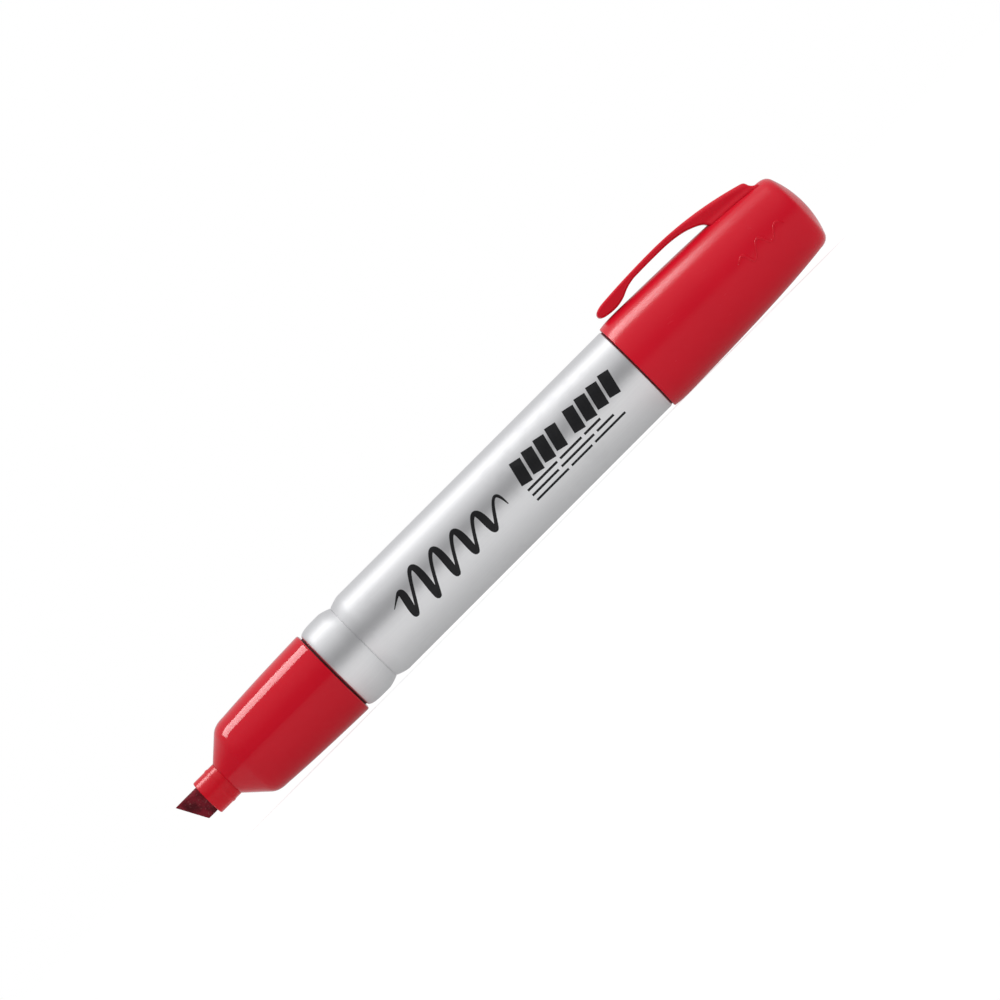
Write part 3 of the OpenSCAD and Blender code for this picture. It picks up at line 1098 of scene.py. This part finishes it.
emblemLook = {"start": mouthX + 25.6, "length": 11.2, "centre": 0.0, "height": 1.5, "fade": 0.4,
              "waves": 2.5, "lean": 0.35, "phase": 0.3, "thin": 0.17, "thick": 0.27,
              "depth": 0.12, "crown": 0.12}
emblem = ribbons("cap_emblem", [waveStroke(emblemLook, 180)], capRadius, 0.0, emblemLook["depth"],
                 crown=emblemLook["crown"], across=4)
finishPiece(emblem, "cap", capRed, "cap_plastic")
print("cap made")


# clip: one leaf from its toe to its foot on the cap
# pairs are (distance behind the cap's mouth, height)

clipShape = {
    "top": 13.08,
    "peak": 16.5,
    "rise": 0.0028,
    "fall": 0.0073,
    "half": 2.5,
    "toe": 1.35,
    "toeTop": 11.45,
    "toeLength": 2.6,
    "armDepth": 1.2,
    "corner": 0.55,        # rounding along the arm
    "rootCorner": 1.0,     # and over the foot
    "rootFrom": 20.0,
    "rootLength": 8.0,
    "planCorner": 1.1,
    "flareFrom": 24.5,     # where the foot begins to spread
    "flareLength": 2.4,
    "flare": 0.75,         # how far it spreads where it meets the cap
    "flareHeight": 1.7,
    "heel": 36.4,          # where the back turns down
    "heelFoot": (37.15, 9.45),
    "end": 38.6,
    "sunk": 0.42,          # how deep the foot runs into the cap
    "bendFrom": 25.6,      # still the cap's here
    "bendTo": 20.4,        # wholly the moving arm's here
}


def clipBack(d):
    s = clipShape
    offset = d - s["peak"]
    return s["top"] - (s["rise"] if offset < 0 else s["fall"]) * offset * offset


def along(points, d):
    # height of a line through points (d, z) at d
    for (d0, z0), (d1, z1) in zip(points, points[1:]):
        if d0 <= d <= d1:
            return z0 + (z1 - z0) * (d - d0) / max(1e-9, d1 - d0)
    return points[-1][1] if d > points[-1][0] else points[0][1]


def chain(*curves):
    # joins curves, each given as its three points and a number of steps
    return [point for a, b, c, steps in curves for point in curve(a, b, c, steps)]


def clipEdges():
    # upper and lower edges of the clip, seen from the side
    s = clipShape
    toe, heel, foot, inner = s["toe"], s["heel"], s["heelFoot"], s["top"] - s["armDepth"]
    armX = toe + s["toeLength"]
    upper = curve((toe, s["toeTop"]), (toe + 0.05, s["toeTop"] + 1.0), (armX, clipBack(armX)), 60)
    upper += [(d, clipBack(d)) for d in (armX + 0.05 * i for i in range(1, 640)) if d < heel]
    upper += chain(((heel, clipBack(heel)), (heel + 0.6, clipBack(heel + 0.6)), foot, 30),
                   (foot, (foot[0] + 0.2, capRadius(mouthX + 37.5) + 0.05),
                    (s["end"], capRadius(mouthX + s["end"]) - 0.05), 60))
    lower = chain(((toe, s["toeTop"] - 0.1), (toe + 0.05, 10.45), (4.2, 10.25), 60),
                  ((4.2, 10.25), (6.2, 10.12), (7.9, 10.95), 60),
                  ((7.9, 10.95), (9.2, 11.6), (11.0, inner - 0.06), 60),
                  ((11.0, inner - 0.06), (15.0, inner + 0.06), (19.0, inner - 0.05), 60),
                  ((19.0, inner - 0.05), (22.4, inner - 0.25), (24.3, 10.9), 60),
                  ((24.3, 10.9), (26.2, 10.2), (26.75, 9.6), 30),
                  ((26.75, 9.6), (27.1, 9.1), (27.6, 8.75), 40))
    footDs = [d for d in (27.7 + 0.1 * i for i in range(110)) if d < s["end"]]
    lower += [(d, capRadius(mouthX + d) - s["sunk"]) for d in footDs]
    return upper, lower


def clipStations():
    # where the clip's cross-sections stand: closer together where its outline turns
    toe, heel = clipShape["toe"], clipShape["heel"]
    stations = [toe + 0.001 + 1.1 * (1 - math.cos(math.pi / 2 * i / 12)) for i in range(13)]
    stations += [stations[-1] + 0.3 * i for i in range(1, 79) if stations[-1] + 0.3 * i < 26.0]
    stations += [26.0 + 0.12 * i for i in range(17)]
    stations += [28.2 + 0.35 * i for i in range(1, 24)]
    stations += [heel + 0.07 * i for i in range(14)] + [37.45 + 0.11 * i for i in range(11)]
    return sorted(set(round(d, 4) for d in stations))


def clipSection(d, top, bottom, cornerSteps=6, sideSteps=18):
    # one side of the cross-section as (y, z), from the crown down to the underside
    s = clipShape
    depth = max(0.04, top - bottom)
    fromToe = d - s["toe"]
    half, rounding = s["half"], s["planCorner"]
    if fromToe < rounding:
        half -= rounding - math.sqrt(max(0.0, rounding ** 2 - (rounding - fromToe) ** 2))
    root = min(1.0, max(0.0, (d - s["rootFrom"]) / s["rootLength"]))
    corner = min(s["corner"] + (s["rootCorner"] - s["corner"]) * root, depth * 0.49)
    under = min(s["corner"], depth * 0.49)
    turns = [math.pi / 2 * i / cornerSteps for i in range(cornerSteps + 1)]
    outline = [(half - corner + corner * math.sin(a), top - corner + corner * math.cos(a)) for a in turns]
    straight = depth - corner - under
    outline += [(half, top - corner - straight * i / sideSteps) for i in range(1, sideSteps)]
    outline += [(half - under + under * math.cos(a), bottom + under - under * math.sin(a)) for a in turns]
    return [flared(d, y, z, half) for y, z in outline]


def flared(d, y, z, half):
    # spreads the foot, and wraps it round the cap
    s = clipShape
    radius = capRadius(mouthX + d)
    lift = math.hypot(y, z) - radius
    if d <= s["flareFrom"] or lift >= s["flareHeight"]:
        return y, z
    u = max(0.0, lift / s["flareHeight"])
    share = min(1.0, (d - s["flareFrom"]) / s["flareLength"]) * min(1.0, max(0.0, y / half))
    angle = math.atan2(y + s["flare"] * (1 - u) ** 3 * share, z)
    radius += max(lift, -0.35)
    return radius * math.sin(angle), radius * math.cos(angle)


def makeClip():
    upper, lower = clipEdges()
    stations = clipStations()
    vertices, faces = [], []
    for d in stations:
        side = clipSection(d, along(upper, d), along(lower, d))
        for y, z in side + [(-y, z) for y, z in reversed(side)]:
            vertices.append(((mouthX + d) * mm, y * mm, z * mm))
    count = len(vertices) // len(stations)
    for i in range(len(stations) - 1):
        for j in range(count):
            k = (j + 1) % count
            faces.append((i * count + j, i * count + k, (i + 1) * count + k, (i + 1) * count + j))
    faces.append(tuple(range(count)))
    faces.append(tuple(reversed(range(len(vertices) - count, len(vertices)))))
    mesh = bpy.data.meshes.new("clip_leaf")
    mesh.from_pydata(vertices, [], faces)
    outwards(mesh)
    return makeObject("clip_leaf", mesh, 40)


clipLeaf = makeClip()
finishPiece(clipLeaf, None, capRed, "clip_plastic", "pocket_clip")
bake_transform(clipLeaf)
print("clip made")


# pieces inside that keep their CAD shape

carriedLooks = {"ink_reservoir": wadFibre, "reservoir_sheath": wadFilm, "breather_tube": ventPlastic}
for nodeName, material in carriedLooks.items():
    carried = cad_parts[nodeName]
    carried.data.materials.clear()
    carried.data.materials.append(material)
print("inner pieces finished")


# stage, light and camera

stageLook = {
    "paper": 0.42,
    "glow": 0.57,          # near the marker
    "far": 1.02,           # away from it
    "near": 0.055,
    "fade": 0.15,
    "squeeze": (0.45, 1.0, 1.0),    # below 1 makes the near part longer that way
    "mirrored": 0.63,      # share of the glow that lights and mirrors in the marker
    "size": 8.0,
}


def grey(value):
    return (value, value, value, 1)


def makeFloor():
    # lit paper round the marker, fading to an even pale tone away from it
    s = stageLook
    mesh = bpy.data.meshes.new("floor")
    half = s["size"] / 2
    corners = [(-half, -half, 0), (half, -half, 0), (half, half, 0), (-half, half, 0)]
    mesh.from_pydata(corners, [], [(0, 1, 2, 3)])
    floor = bpy.data.objects.new("floor", mesh)
    bpy.context.scene.collection.objects.link(floor)
    floor.location.z = cadBounds[0][2]
    material, tree, principled, place = newMaterial("floorPaper", Roughness=0.9, Specular_IOR_Level=0.0)
    away = addNode(tree, "ShaderNodeVectorMath", operation="LENGTH")
    plug(tree, away.inputs[0], stretched(tree, place, s["squeeze"]))
    fade = remap(tree, away.outputs["Value"], s["near"], s["fade"])
    fibre = remap(tree, noise(tree, place, 900.0, 3.0), 0.0, 1.0, 0.98, 1.0)
    plug(tree, principled.inputs["Base Color"], mixColour(tree, fade, grey(s["paper"]), grey(0)))
    glow = mixColour(tree, fade, grey(s["glow"]), grey(s["far"]))
    glow = mixColour(tree, 1.0, glow, fibre, "MULTIPLY")
    mirrored = mixColour(tree, 1.0, glow, grey(s["mirrored"]), "MULTIPLY")
    rays = addNode(tree, "ShaderNodeLightPath")
    seen = mixColour(tree, rays.outputs["Is Camera Ray"], mirrored, glow)
    plug(tree, principled.inputs["Emission Color"], seen)
    principled.inputs["Emission Strength"].default_value = 1.0
    mesh.materials.append(material)


worldLook = {
    "frontLow": (0.27, 0.27, 0.275, 1),    # what gloss mirrors in front of the marker
    "frontHigh": (0.88, 0.88, 0.89, 1),
    "behind": (0.70, 0.70, 0.71, 1),
    "softLow": (0.30, 0.30, 0.31, 1),      # what lights it, from the horizon up
    "softHigh": (1.42, 1.42, 1.43, 1),
    "seen": (1.0, 1.0, 1.0, 1),
}


def makeWorld():
    s = worldLook
    world = bpy.data.worlds.new("studio")
    bpy.context.scene.world = world
    world.use_nodes = True
    tree = world.node_tree
    background = tree.nodes["Background"]
    rays = addNode(tree, "ShaderNodeLightPath")
    direction = addNode(tree, "ShaderNodeSeparateXYZ")
    plug(tree, direction.inputs[0], addNode(tree, "ShaderNodeTexCoord").outputs["Generated"])
    up, back = direction.outputs[2], direction.outputs[1]
    front = mixColour(tree, remap(tree, up, 0.30, 1.0), s["frontLow"], s["frontHigh"])
    around = mixColour(tree, remap(tree, back, 0.15, 0.6), front, s["behind"])
    soft = mixColour(tree, remap(tree, up, 0.05, 0.9), s["softLow"], s["softHigh"])
    around = mixColour(tree, rays.outputs["Is Diffuse Ray"], around, soft)
    seen = mixColour(tree, rays.outputs["Is Camera Ray"], around, s["seen"])
    plug(tree, background.inputs["Color"], seen)
    background.inputs["Strength"].default_value = 1.0


# each lamp hangs over the marker, a little behind it, and aims at its axis
lightLooks = {
    "topStrip": {"x": -0.02, "behind": 0.035, "height": 0.42, "size": (0.42, 0.19), "watts": 0.20},
    "glossStrip": {"x": -0.105, "behind": 0.036, "height": 0.44, "size": (0.39, 0.17), "watts": 2.5},
}


def makeLight(name):
    s = lightLooks[name]
    lamp = bpy.data.lights.new(name, "AREA")
    lamp.shape = "RECTANGLE"
    lamp.size, lamp.size_y = s["size"]
    lamp.energy = s["watts"]
    light = bpy.data.objects.new(name, lamp)
    bpy.context.scene.collection.objects.link(light)
    place = Vector((s["x"], s["behind"], s["height"]))
    away = (place - Vector((s["x"], 0, 0))).normalized()
    side = Vector((1, 0, 0))
    up = away.cross(side).normalized()
    light.matrix_world = Matrix.Translation(place) @ Matrix((side, up, away)).transposed().to_4x4()
    return light


cameraLook = {"roll": 45.05, "distance": 1.5, "width": 0.18, "centre": (-0.0004, 0.0, 0.00064),
              "sensor": 36.0}


def makeCamera():
    s = cameraLook
    data = bpy.data.cameras.new("camera")
    data.sensor_width = s["sensor"]
    data.lens = s["sensor"] * s["distance"] / s["width"]
    camera = bpy.data.objects.new("camera", data)
    bpy.context.scene.collection.objects.link(camera)
    roll = math.radians(s["roll"])
    capward, clipward, viewer = Vector((1, 0, 0)), Vector((0, 0, 1)), Vector((0, -1, 0))
    right = capward * math.cos(roll) - clipward * math.sin(roll)
    up = capward * math.sin(roll) + clipward * math.cos(roll)
    place = Vector(s["centre"]) + viewer * s["distance"]
    camera.matrix_world = Matrix.Translation(place) @ Matrix((right, up, viewer)).transposed().to_4x4()
    bpy.context.scene.camera = camera


makeFloor()
makeWorld()
makeLight("topStrip")
glossStrip = makeLight("glossStrip")    # puts the long highlight on the red parts alone
redPieces = bpy.data.collections.new("redPieces")
for piece in (nose, nibSleeve, capBody, emblem, innerCup):
    redPieces.objects.link(piece)
glossStrip.light_linking.receiver_collection = redPieces
glossStrip.visible_diffuse = False
makeCamera()
bpy.context.scene.view_settings.view_transform = "Standard"
print("stage set")
